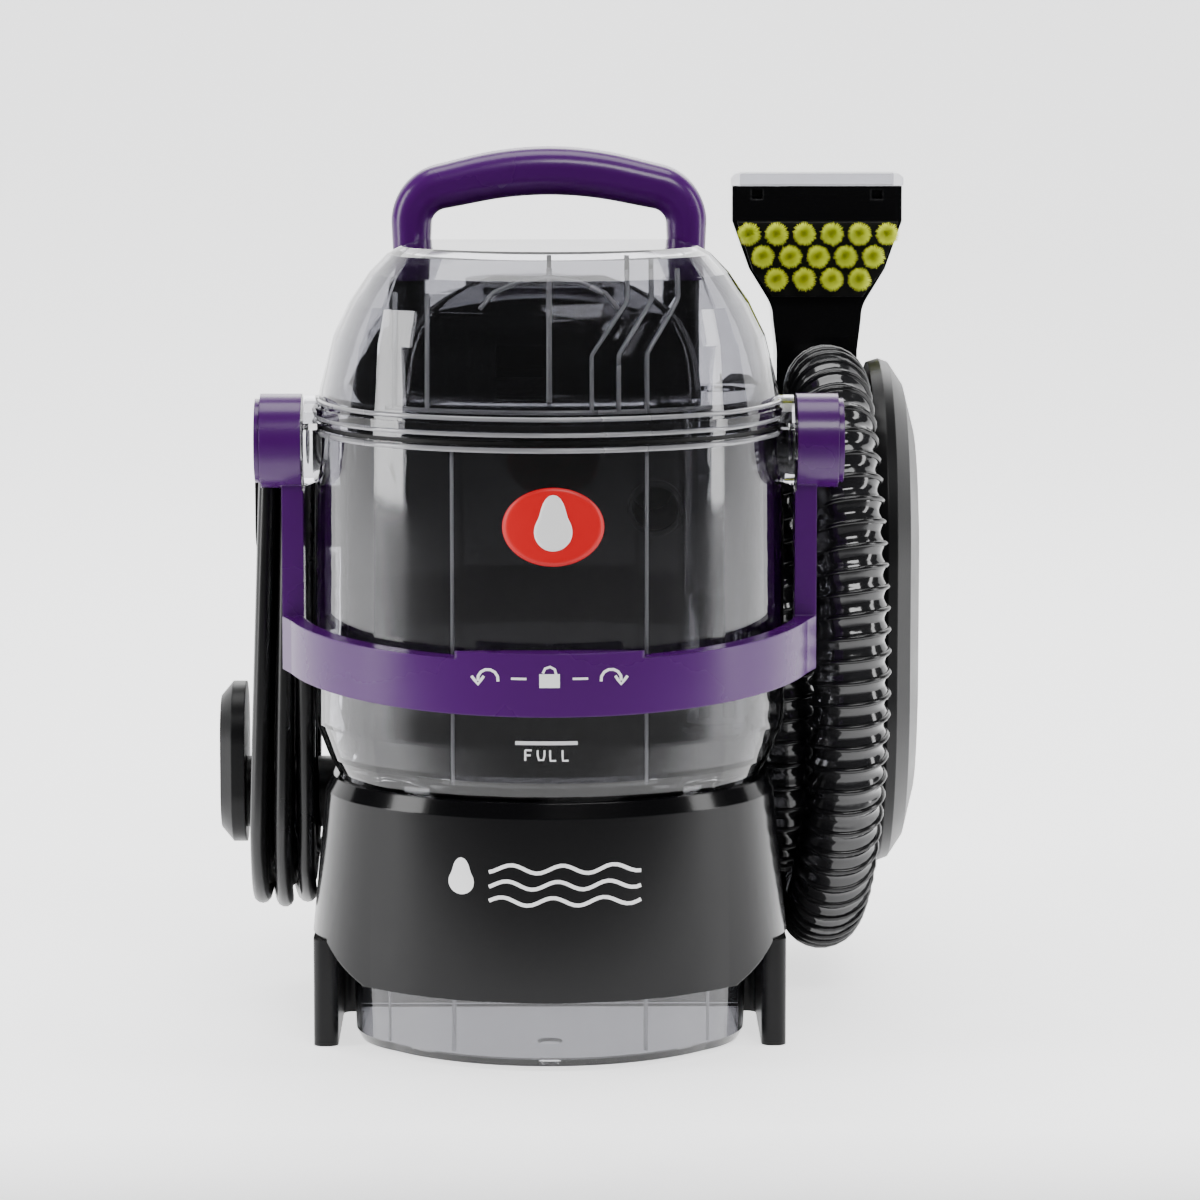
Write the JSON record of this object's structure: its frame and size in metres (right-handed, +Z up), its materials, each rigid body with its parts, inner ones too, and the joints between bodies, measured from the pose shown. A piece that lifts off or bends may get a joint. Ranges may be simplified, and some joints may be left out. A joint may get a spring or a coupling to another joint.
{
  "type": "portable spot carpet cleaner",
  "caption": "Portable spot carpet cleaner with a clear lift-out tank and domed lid, swinging bail, carry handle, wound suction hose, stored stain tool and wound power cord.",
  "frame": {"origin": "on the floor, under the middle of the machine's box measured without its hose and cord", "axes": "+X to the right seen from the front, +Y to the rear, +Z up"},
  "size_m": [0.295, 0.339, 0.3604],
  "materials": {
    "smoke_clear": "clear, lightly smoked moulded plastic",
    "water_clear": "clear moulded plastic",
    "violet_gloss": "satin-gloss deep violet plastic",
    "black_gloss": "polished black plastic",
    "black_satin": "fine-textured black plastic",
    "inner_grey": "plain moulded grey plastic",
    "hose_film": "glossy smoked film on black ribs",
    "soft_black": "soft black",
    "cord_black": "smooth black",
    "bristle_green": "yellow-green nylon",
    "steel": "plain",
    "plated": "plated",
    "board_green": "lacquered board"
  },
  "bodies": {
    "machine": {"carry_handle": "violet_gloss", "base_chassis": "black_satin", "base_pads": "soft_black", "front_apron": "black_gloss", "housing_front": "black_gloss", "housing_rear": "black_satin", "top_cover": "black_gloss", "handle_screws": "steel", "housing_screws": "steel", "motor_can": "steel", "motor_mounts": "soft_black", "motor_tray": "inner_grey", "fan_housing": "inner_grey", "suction_duct": "black_satin", "recovery_pipe": "black_satin", "water_pump": "inner_grey", "pump_outlet": "inner_grey", "circuit_board": "board_green", "switch_frame": "black_satin", "tank_dock": "black_satin", "hose_core": "black_satin", "hose_flange": "black_satin", "outlet_elbow": "black_satin", "flex_hose": "hose_film", "tool_holder": "black_satin", "hose_cuff": "black_satin", "cord_bracket": "black_satin", "lower_hook": "black_satin", "power_cord_coil": "cord_black", "power_cord_lead": "cord_black", "power_cord_tail": "cord_black", "cord_gland": "soft_black", "power_plug": "cord_black", "plug_pins": "plated"},
    "collection_tank": {"collection_tank": "smoke_clear"},
    "lid": {"lid_dome": "smoke_clear", "tank_seal": "soft_black", "separator_plate": "smoke_clear", "air_duct": "smoke_clear", "float_cage": "smoke_clear"},
    "float": {"shutoff_float": "inner_grey"},
    "bail": {"bail_handle": "violet_gloss", "bail_hub_caps": "violet_gloss"},
    "clean_tank": {"clean_tank": "water_clear"},
    "clean_cap": {"clean_tank_cap": "black_satin"},
    "valve_stem": {"tank_valve": "inner_grey"},
    "fan": {"fan_rotor": "inner_grey"},
    "power_button": {"power_button": "violet_gloss"},
    "grip": {"grip_body": "black_satin"},
    "trigger": {"grip_trigger": "violet_gloss"},
    "tool": {"tool_body": "black_gloss", "tool_window": "smoke_clear", "brush_plate": "black_satin", "brush_tufts": "bristle_green"},
    "tool_latch": {"release_button": "black_satin"},
    "cord_hook": {"upper_hook": "black_satin"}
  },
  "joints": [
    {"name": "collection_tank_lift", "type": "slide", "parent": "machine", "child": "collection_tank", "axis": [0, 0, 1], "range_m": [0, 0.12]},
    {"name": "lid_lift", "type": "slide", "parent": "collection_tank", "child": "lid", "axis": [0, 0, 1], "range_m": [0, 0.015]},
    {"name": "float_rise", "type": "slide", "parent": "lid", "child": "float", "axis": [0, 0, 1], "range_m": [0, 0.025]},
    {"name": "bail_swing", "type": "hinge", "parent": "collection_tank", "child": "bail", "pos_m": [-0.0095, -0.0765, 0.245], "axis": [-1, 0, 0], "range_deg": [0, 135]},
    {"name": "clean_tank_lift", "type": "slide", "parent": "machine", "child": "clean_tank", "axis": [0, 0, 1], "range_m": [0, 0.06]},
    {"name": "clean_cap_turn", "type": "hinge", "parent": "clean_tank", "child": "clean_cap", "pos_m": [-0.0195, 0.1165, 0.29], "axis": [0, 0, 1], "continuous": true},
    {"name": "valve_stem_push", "type": "slide", "parent": "clean_tank", "child": "valve_stem", "axis": [0, 0, 1], "range_m": [0, 0.004], "stiffness_N_per_m": 400, "springref_m": -0.001},
    {"name": "fan_spin", "type": "hinge", "parent": "machine", "child": "fan", "pos_m": [-0.0215, 0.0175, 0.12], "axis": [0, 0, 1], "continuous": true},
    {"name": "power_button_push", "type": "slide", "parent": "machine", "child": "power_button", "axis": [0, 0, -1], "range_m": [0, 0.0025], "stiffness_N_per_m": 900, "springref_m": -0.0005},
    {"name": "grip_swivel", "type": "hinge", "parent": "machine", "child": "grip", "pos_m": [0.109, 0.1465, 0.15], "axis": [0, 0, 1], "range_deg": [-20, 20]},
    {"name": "trigger_pull", "type": "hinge", "parent": "grip", "child": "trigger", "pos_m": [0.109, 0.16, 0.2135], "axis": [-1, 0, 0], "range_deg": [0, 7], "stiffness_Nm_per_rad": 0.6, "springref_deg": -1.15},
    {"name": "tool_pull_off", "type": "slide", "parent": "grip", "child": "tool", "axis": [0, 0, 1], "range_m": [0, 0.03]},
    {"name": "tool_latch_push", "type": "slide", "parent": "tool", "child": "tool_latch", "axis": [0, 1, 0], "range_m": [0, 0.002], "stiffness_N_per_m": 900, "springref_m": -0.0005},
    {"name": "cord_hook_turn", "type": "hinge", "parent": "machine", "child": "cord_hook", "pos_m": [-0.1095, -0.0025, 0.205], "axis": [1, 0, 0], "range_deg": [0, 180]}
  ]
}
